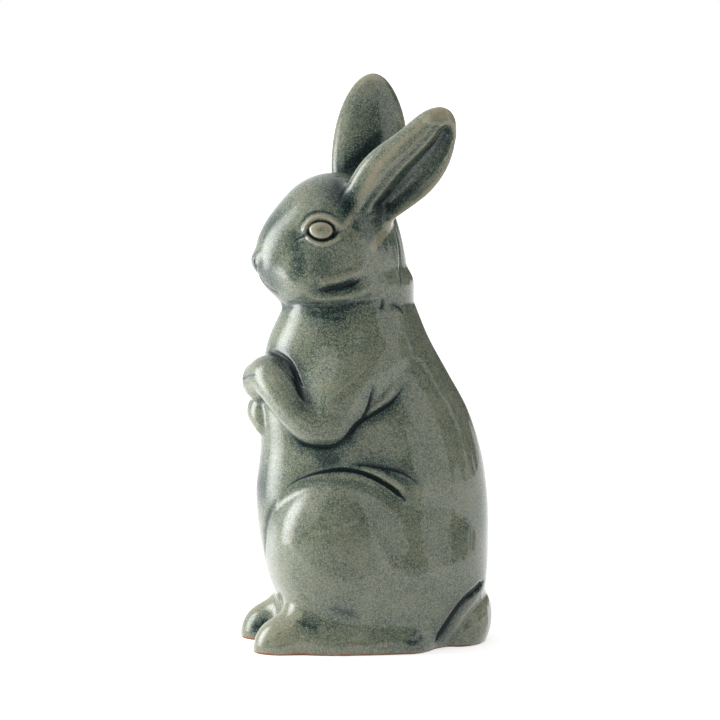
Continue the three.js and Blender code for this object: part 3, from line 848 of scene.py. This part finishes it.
# Boxes round the eye and round the nose and mouth, and the width of a crease that is drawn finely
EYE_BOX = ((EYE[0] - 15, 14, EYE[1] - 11), (EYE[0] + 15, 60, EYE[1] + 11))
NOSE_BOX = ((-80, -1, 184), (-44, 14, 208))
FINE_WIDTHS = 2.4
FINE_MARGIN = 0.6


def finely_drawn(p):
    """Whether points lie where the drawing is finer than the grid: creases, eyes, nose and mouth."""
    q = both_sides(p)
    fine = in_box(q, *EYE_BOX) | in_box(q, *NOSE_BOX)
    for c, line in placed(CREASES, rabbit):
        reach = FINE_WIDTHS * c["wide"] + FINE_MARGIN
        fine |= to_line(p, line, reach)[0] < reach
    return fine


def refined(points, quad, fine):
    """The mesh with every edge between fine points cut in half: points, faces and edges."""
    bm = bmesh.new()
    verts = [bm.verts.new(p) for p in points.tolist()]
    for corners in quad.tolist():
        bm.faces.new([verts[i] for i in corners])
    bm.verts.index_update()
    cut = [e for e in bm.edges if fine[e.verts[0].index] and fine[e.verts[1].index]]
    bmesh.ops.subdivide_edges(bm, edges=cut, cuts=1, use_grid_fill=True)
    bm.verts.index_update()
    points = np.array([v.co[:] for v in bm.verts])
    faces = [[v.index for v in f.verts] for f in bm.faces]
    edges = np.array([[e.verts[0].index, e.verts[1].index] for e in bm.edges])
    bm.free()
    return points, faces, edges


def clay_mesh():
    """The skin's points and faces, its pooled glaze with painted shade, and its thin glaze."""
    points, quad = surface(rabbit, LOW, HIGH, GRID)
    points = settle(rabbit, points, 1)[0]
    points, faces, edges = refined(points, quad, finely_drawn(points))
    points, normals = settle(rabbit, points, 2)
    sink, crease_pool_and_shade = creases(points, rabbit)
    line_sink, line_pool = nose_and_mouth(points, rabbit)
    high, ridge_thin_and_highlight = ridges(points, rabbit)
    rise, eye_pool, eye_thin = eyes(points)
    ear_pool, ear_thin = ear_glaze(points)
    points = points + normals * (rise + high - sink - line_sink)[:, None]
    below = relief(points, normals, edges, [rounds for rounds, full, share in HOLLOWS])
    hollow = sum(share * np.clip(d / full, 0, 1) for d, (rounds, full, share) in zip(below, HOLLOWS))
    ridge = sum(share * np.clip(-d / full - least, 0, 1) for d, (full, least, share) in zip(below, EDGES))
    pool_and_shade = np.maximum.reduce([crease_pool_and_shade, line_pool, eye_pool, ear_pool, patches(points, POOLS_AND_SHADE)])
    thin = np.maximum.reduce([ridge_thin_and_highlight, eye_thin, ear_thin, patches(points, THIN_PATCHES)])
    return points, faces, np.clip(pool_and_shade + hollow, 0, POOL_MOST), np.clip(thin + ridge, 0, 1)


# Objects, materials and shader nodes
def added(name, data):
    """A new object in the scene."""
    obj = bpy.data.objects.new(name, data)
    bpy.context.scene.collection.objects.link(obj)
    return obj


def material(name):
    """A new material, its node tree and its shader."""
    m = bpy.data.materials.new(name)
    m.use_nodes = True
    return m, m.node_tree, m.node_tree.nodes["Principled BSDF"]


def node(tree, kind, **settings):
    """A new shader node with its settings."""
    n = tree.nodes.new("ShaderNode" + kind)
    for key, value in settings.items():
        setattr(n, key, value)
    return n


def setting(n, **values):
    """Sets unlinked inputs, with _ for the spaces in their names."""
    for key, value in values.items():
        n.inputs[key.replace("_", " ")].default_value = value


def math(tree, operation, *values):
    """An operation on sockets and numbers, taken two at a time from the left."""
    n = node(tree, "Math", operation=operation)
    for i, value in enumerate(values[:2]):
        if isinstance(value, (int, float)):
            n.inputs[i].default_value = value
        else:
            tree.links.new(value, n.inputs[i])
    if len(values) > 2:
        return math(tree, operation, n.outputs[0], *values[2:])
    return n.outputs[0]


def times(tree, *values):
    return math(tree, "MULTIPLY", *values)


# Most of a noise's values lie between these
NOISE_SPAN = (0.3, 0.7)


def noise_node(tree, where, scale, detail):
    n = node(tree, "TexNoise")
    setting(n, Scale=scale, Detail=detail)
    tree.links.new(where, n.inputs["Vector"])
    return n


def noise(tree, where, scale, detail):
    return noise_node(tree, where, scale, detail).outputs["Fac"]


def remap(tree, value, start, end, low=0.0, high=1.0):
    """Low where the value is at start, high at end, and held level beyond them."""
    n = node(tree, "MapRange", clamp=True)
    for name, v in (("From Min", start), ("From Max", end), ("To Min", low), ("To Max", high)):
        n.inputs[name].default_value = v
    tree.links.new(value, n.inputs["Value"])
    return n.outputs["Result"]


def ray(tree, kind):
    """1 for rays of one kind."""
    return node(tree, "LightPath").outputs[f"Is {kind} Ray"]


def between(tree, value, low, high, soft=0.012):
    """1 where a value lies between two others, with soft edges."""
    above = remap(tree, value, low - soft, low + soft)
    return times(tree, above, remap(tree, value, high - soft, high + soft, 1, 0))


def swayed(tree, value, most):
    """A noise's value as one from -most to most."""
    return remap(tree, value, *NOISE_SPAN, -most, most)


# Linear colours of the glaze from thin to thick
GLAZE = [
    (0.00, (0.44, 0.345, 0.235)),
    (0.20, (0.36, 0.330, 0.230)),
    (0.40, (0.252, 0.274, 0.190)),
    (0.60, (0.120, 0.154, 0.114)),
    (0.80, (0.032, 0.062, 0.054)),
    (1.00, (0.006, 0.014, 0.015)),
]
CLAY = (0.42, 0.20, 0.12)
# Thickness of the glaze at rest, and what pools, thin places and cracks change
REST = 0.30
POOLED = 0.56
THINNED = 0.34
CRACKED = 0.46
CLOUDS = 0.03
GRAIN = 0.05
# The crackle's cells and how far they bend in metres, and the cracks' share of a cell and strength
CRACKLE = 0.0012
CRACKLE_BEND = 0.0012
CRACKLE_WIDE = 0.22
CRACKLE_STRONG = 0.7
# Width of the wandering lines in a noise's range, and the strength in weak patches
LINES_WIDE = 0.09
WEAK_PATCH = 0.7
# The unglazed foot ends between these heights in metres, on a line that wanders by so much
BARE = (0.0008, 0.0013)
BARE_WANDERS = 0.0005
# Roughness under the coat, glazed and bare
ROUGH = (0.38, 0.85)
# The clear coat dulls where the glaze is pooled between these strengths: painted shade, so that creases
# don't mirror the studio
COAT_SHADE_POOL = (0.6, 1.15)
COAT_IN_SHADE = 0.12


def crackle(tree, where):
    """Strength of the cracks: a net of bent cells under wandering lines, in patches."""
    bent = node(tree, "VectorMath", operation="MULTIPLY_ADD")
    bend = noise_node(tree, where, scale=600, detail=1)
    tree.links.new(bend.outputs["Color"], bent.inputs[0])
    bent.inputs[1].default_value = (CRACKLE_BEND, CRACKLE_BEND, CRACKLE_BEND)
    tree.links.new(where, bent.inputs[2])
    cells = node(tree, "TexVoronoi", feature="DISTANCE_TO_EDGE")
    setting(cells, Scale=1 / CRACKLE)
    tree.links.new(bent.outputs[0], cells.inputs["Vector"])
    edges = remap(tree, cells.outputs["Distance"], 0, CRACKLE_WIDE, CRACKLE_STRONG, 0)
    winding = noise(tree, where, scale=620, detail=1)
    off_middle = math(tree, "ABSOLUTE", math(tree, "SUBTRACT", winding, 0.5))
    lines = remap(tree, off_middle, 0, LINES_WIDE, 1, 0)
    strength = remap(tree, noise(tree, where, scale=90, detail=2), 0.3, 0.6, WEAK_PATCH, 1)
    return times(tree, math(tree, "MAXIMUM", edges, lines), strength)


def thickness(tree, where, pool_and_shade, grain, crack):
    """The glaze's thickness from 0 to 1, which sets its colour; the pooling also carries painted shade,
    and the thin glaze painted highlights.
    """
    thin = node(tree, "Attribute", attribute_name="thin").outputs["Fac"]
    thick = math(tree, "ADD", REST, times(tree, pool_and_shade, POOLED))
    thick = math(tree, "SUBTRACT", thick, times(tree, thin, THINNED))
    clouds = swayed(tree, noise(tree, where, scale=55, detail=3), CLOUDS)
    cracks = times(tree, crack, CRACKED)
    return math(tree, "ADD", thick, clouds, swayed(tree, grain, GRAIN), cracks)


def glaze_colour(tree, thick):
    """The colour of the glaze at its thickness."""
    ramp_node = node(tree, "ValToRGB")
    stops = ramp_node.color_ramp.elements
    while len(stops) < len(GLAZE):
        stops.new(0.5)
    for stop, (place, colour) in zip(stops, GLAZE):
        stop.position = place
        stop.color = (*colour, 1)
    tree.links.new(thick, ramp_node.inputs["Fac"])
    return ramp_node.outputs["Color"]


def bare_clay(tree, where):
    """1 on the foot's unglazed underside and its edge."""
    height = node(tree, "SeparateXYZ")
    tree.links.new(where, height.inputs[0])
    wander = swayed(tree, noise(tree, where, scale=160, detail=2), BARE_WANDERS)
    return remap(tree, math(tree, "ADD", height.outputs["Z"], wander), *BARE, 1, 0)


# Sockets of a mix node that take and give colours
MIX_A, MIX_B, MIXED = 6, 7, 2


def glaze():
    """Crackled glaze over clay: its colour by thickness, which carries painted shade and highlights, a
    clear coat that is dulled in the painted shade, and a fine relief.
    """
    m, tree, shader = material("celadon_glaze")
    where = node(tree, "TexCoord").outputs["Object"]
    pool_and_shade = node(tree, "Attribute", attribute_name="pool_and_shade").outputs["Fac"]
    grain = noise(tree, where, scale=900, detail=2)
    crack = crackle(tree, where)
    bare = bare_clay(tree, where)

    thick = thickness(tree, where, pool_and_shade, grain, crack)
    colour = node(tree, "Mix", data_type="RGBA")
    tree.links.new(bare, colour.inputs["Factor"])
    tree.links.new(glaze_colour(tree, thick), colour.inputs[MIX_A])
    colour.inputs[MIX_B].default_value = (*CLAY, 1)
    tree.links.new(colour.outputs[MIXED], shader.inputs["Base Color"])
    tree.links.new(remap(tree, bare, 0, 1, *ROUGH), shader.inputs["Roughness"])
    glazed = remap(tree, bare, 0, 1, 1, 0)
    # Painted shade on the coat: it is dulled where the glaze pools
    coat = times(tree, glazed, remap(tree, pool_and_shade, *COAT_SHADE_POOL, 1, COAT_IN_SHADE))
    tree.links.new(coat, shader.inputs["Coat Weight"])
    setting(shader, Coat_Roughness=0.03, Specular_IOR_Level=0.15)

    bump = node(tree, "Bump")
    setting(bump, Strength=0.25, Distance=0.0002)
    height = math(tree, "ADD", times(tree, grain, 0.5), times(tree, crack, -0.25))
    tree.links.new(height, bump.inputs["Height"])
    tree.links.new(bump.outputs["Normal"], shader.inputs["Normal"])
    return m


# The skin as an object
def centred(points):
    """The points with the middle of their outline over the origin and the foot at height 0."""
    low, high = points.min(0), points.max(0)
    return points - (*((low + high) / 2)[:2], low[2])


def attribute(mesh, name, values):
    layer = mesh.attributes.new(name, "FLOAT", "POINT")
    layer.data.foreach_set("value", values.astype(np.float32))


def skin():
    """The whole glazed figurine as one object that replaces all the nodes."""
    points, faces, pool_and_shade, thin = clay_mesh()
    points = centred(points) * MM
    mesh = bpy.data.meshes.new("glazed_rabbit")
    mesh.from_pydata(points.tolist(), [], faces)
    mesh.shade_smooth()
    # Pooled glaze with painted shade, and thin glaze with painted highlights along the ridges
    attribute(mesh, "pool_and_shade", pool_and_shade)
    attribute(mesh, "thin", thin)
    mesh.materials.append(glaze())
    piece = added("glazed_rabbit", mesh)
    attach(piece, "root")
    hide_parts(*frame["nodes"])


# Floor, backdrop and lamp
WORLD_FILL = 0.61
FLOOR_LIFT = 0.60
# What the glaze mirrors, in degrees from -y toward +x: a dark opening in front, and gaps at the back
OPENING = (-70, 34)
OPENING_TOP = 48
# Height over the opening where the dark is least, and how dark it is there
OVER_OPENING = (0.8, 0.4)
# Start, end and top of the gaps, and where they begin
GAPS = ((64, 89, 26), (94, 170, 46))
GAP_LOW = 0.02
DARK = 0.04
# A bright streak across the opening, which rises by so much a radian, and a panel at its upper left
STREAK = (-55, 22)
STREAK_HIGH = (0.27, 0.36)
STREAK_RISE = 0.2
STREAK_BRIGHT = 0.7
PANEL = (-75, -42)
PANEL_HIGH = (0.36, 0.42)
# How far the edges of the opening and the gaps wander, in radians
WANDER = 0.09
# Distances from the middle, in metres, between which the floor's own light reaches white
LIFT_ENDS = (0.15, 0.45)
FLOOR_HALF = 6.0
# The mirrored floor is dark beyond this point in metres and to the left of this direction
FLOOR_EDGE = (-0.010, -0.098)
FLOOR_EDGE_TURN = radians(-52)
AHEAD_SOFT = 0.006
LEFT_SOFT = 0.008


def seen_directly(tree):
    """1 for rays that show the backdrop: straight, in a reflection, or through glass."""
    return math(tree, "MAXIMUM", ray(tree, "Camera"), ray(tree, "Glossy"), ray(tree, "Transmission"))


def floor_lift(tree):
    """The floor's own light, which makes it white where the lamp doesn't reach it."""
    away = node(tree, "VectorMath", operation="LENGTH")
    tree.links.new(node(tree, "NewGeometry").outputs["Position"], away.inputs[0])
    return remap(tree, away.outputs["Value"], *LIFT_ENDS, FLOOR_LIFT, 1)


def mirrored_dark_floor(tree):
    """1 for mirrored rays that meet the floor beyond its light part in front."""
    place = node(tree, "SeparateXYZ")
    tree.links.new(node(tree, "NewGeometry").outputs["Position"], place.inputs[0])
    x = math(tree, "SUBTRACT", place.outputs["X"], FLOOR_EDGE[0])
    y = math(tree, "SUBTRACT", place.outputs["Y"], FLOOR_EDGE[1])
    ahead = remap(tree, y, 0, -AHEAD_SOFT)
    left = math(tree, "SUBTRACT", times(tree, x, sin(FLOOR_EDGE_TURN)),
                times(tree, y, cos(FLOOR_EDGE_TURN)))
    return times(tree, ahead, remap(tree, left, 0, LEFT_SOFT), ray(tree, "Glossy"))


def floor():
    """A white floor, lit near the object and with its own light further out."""
    mesh = bpy.data.meshes.new("floor")
    corners = [(x * FLOOR_HALF, y * FLOOR_HALF, 0) for x, y in ((-1, -1), (1, -1), (1, 1), (-1, 1))]
    mesh.from_pydata(corners, [], [(0, 1, 2, 3)])
    m, tree, shader = material("floor")
    setting(shader, Base_Color=(0.86, 0.86, 0.86, 1), Roughness=0.9, Specular_IOR_Level=0.0)
    setting(shader, Emission_Color=(1, 1, 1, 1))
    light_part = math(tree, "SUBTRACT", 1, mirrored_dark_floor(tree))
    lift = times(tree, seen_directly(tree), floor_lift(tree), light_part)
    tree.links.new(lift, shader.inputs["Emission Strength"])
    mesh.materials.append(m)
    obj = added("floor", mesh)


def studio_level(tree):
    """Brightness of the studio by direction, as the glaze mirrors it."""
    direction = node(tree, "TexCoord").outputs["Generated"]
    way = node(tree, "SeparateXYZ")
    tree.links.new(direction, way.inputs[0])
    azimuth = math(tree, "ARCTAN2", way.outputs["X"], times(tree, way.outputs["Y"], -1))
    wander = swayed(tree, noise(tree, direction, scale=9, detail=3), WANDER)
    rough_azimuth = math(tree, "ADD", azimuth, wander)
    height = math(tree, "ADD", way.outputs["Z"], wander)

    off_line = math(tree, "SUBTRACT", way.outputs["Z"], times(tree, azimuth, STREAK_RISE))
    along = between(tree, azimuth, *map(radians, STREAK))
    streak = times(tree, between(tree, off_line, *STREAK_HIGH), along, STREAK_BRIGHT)
    across = between(tree, rough_azimuth, *map(radians, PANEL))
    panel = times(tree, across, remap(tree, height, *PANEL_HIGH))

    across = between(tree, rough_azimuth, *map(radians, OPENING))
    over, least = OVER_OPENING
    fading = remap(tree, height, sin(radians(OPENING_TOP)), over, 1, least)
    rest = [math(tree, "SUBTRACT", 1, bright) for bright in (streak, panel)]
    dark = times(tree, across, fading, *rest)
    for start, end, top in GAPS:
        gap = between(tree, rough_azimuth, radians(start), radians(end))
        gap = times(tree, gap, between(tree, height, GAP_LOW, sin(radians(top))))
        dark = math(tree, "MAXIMUM", dark, gap)
    return remap(tree, dark, 0, 1, 1, DARK)


def world():
    """White for the camera, the studio for mirrored rays, and a soft fill for the rest."""
    w = bpy.data.worlds.new("studio")
    bpy.context.scene.world = w
    w.use_nodes = True
    tree = w.node_tree
    back = tree.nodes["Background"]
    back.inputs["Color"].default_value = (1, 1, 1, 1)
    mirrored = math(tree, "MAXIMUM", ray(tree, "Glossy"), ray(tree, "Transmission"))
    shown = times(tree, mirrored, studio_level(tree))
    fill = times(tree, ray(tree, "Diffuse"), WORLD_FILL)
    level = math(tree, "ADD", shown, ray(tree, "Camera"), fill)
    tree.links.new(level, back.inputs["Strength"])


def aim(obj, place, target):
    """Puts a lamp or camera at place, looking at target with its top up."""
    toward = (Vector(place) - Vector(target)).normalized()
    right = Vector((0, 0, 1)).cross(toward).normalized()
    up = toward.cross(right)
    turn = Matrix((right, up, toward)).transposed().to_4x4()
    obj.matrix_world = Matrix.Translation(Vector(place)) @ turn


def from_view(azimuth, elevation, distance):
    """A place seen from the origin at an angle: azimuth 0 is -y, and positive turns to +x."""
    a, e = radians(azimuth), radians(elevation)
    return Vector((sin(a) * cos(e), -cos(a) * cos(e), sin(e))) * distance


# What the lamp points at
LIT = Vector((0, 0, 0.15))


def softbox(name, azimuth, elevation, distance, size, watts, edge):
    """An area lamp that falls off toward its edges over a share of its half width."""
    lamp = bpy.data.lights.new(name, "AREA")
    lamp.shape = "RECTANGLE"
    lamp.size, lamp.size_y = size
    lamp.energy = watts
    lamp.use_nodes = True
    tree = lamp.node_tree
    spot = node(tree, "VectorMath", operation="DISTANCE")
    tree.links.new(node(tree, "NewGeometry").outputs["Parametric"], spot.inputs[0])
    spot.inputs[1].default_value = (0.5, 0.5, 0)
    level = remap(tree, spot.outputs["Value"], 0.5 - 0.5 * edge, 0.5, 1, 0)
    tree.links.new(level, tree.nodes["Emission"].inputs["Strength"])
    aim(added(name, lamp), LIT + from_view(azimuth, elevation, distance), LIT)


# The photograph's view: 720 pixels wide, its scale, and where the foot's middle falls
VIEW = (-10, 7)
PIXELS = 720
SCALE = 0.527
FOOT_AT = (367, 641)
DISTANCE = 2.4


def camera():
    """The photograph's camera, aimed so that the foot's middle falls in its place."""
    a, e = map(radians, VIEW)
    right = Vector((cos(a), sin(a), 0))
    up = Vector((-sin(a) * sin(e), cos(a) * sin(e), cos(e)))
    middle = PIXELS / 2
    target = (right * (middle - FOOT_AT[0]) + up * (FOOT_AT[1] - middle)) * SCALE * MM
    cam = bpy.data.cameras.new("camera")
    cam.sensor_width = 36.0
    cam.lens = cam.sensor_width * DISTANCE / (PIXELS * SCALE * MM)
    obj = added("camera", cam)
    aim(obj, target + from_view(*VIEW, DISTANCE), target)
    bpy.context.scene.camera = obj


skin()
floor()
world()
softbox("left softbox", azimuth=-98, elevation=10, distance=0.5, size=(0.38, 0.80), watts=8.0, edge=0.7)
camera()
bpy.context.scene.view_settings.view_transform = "Standard"
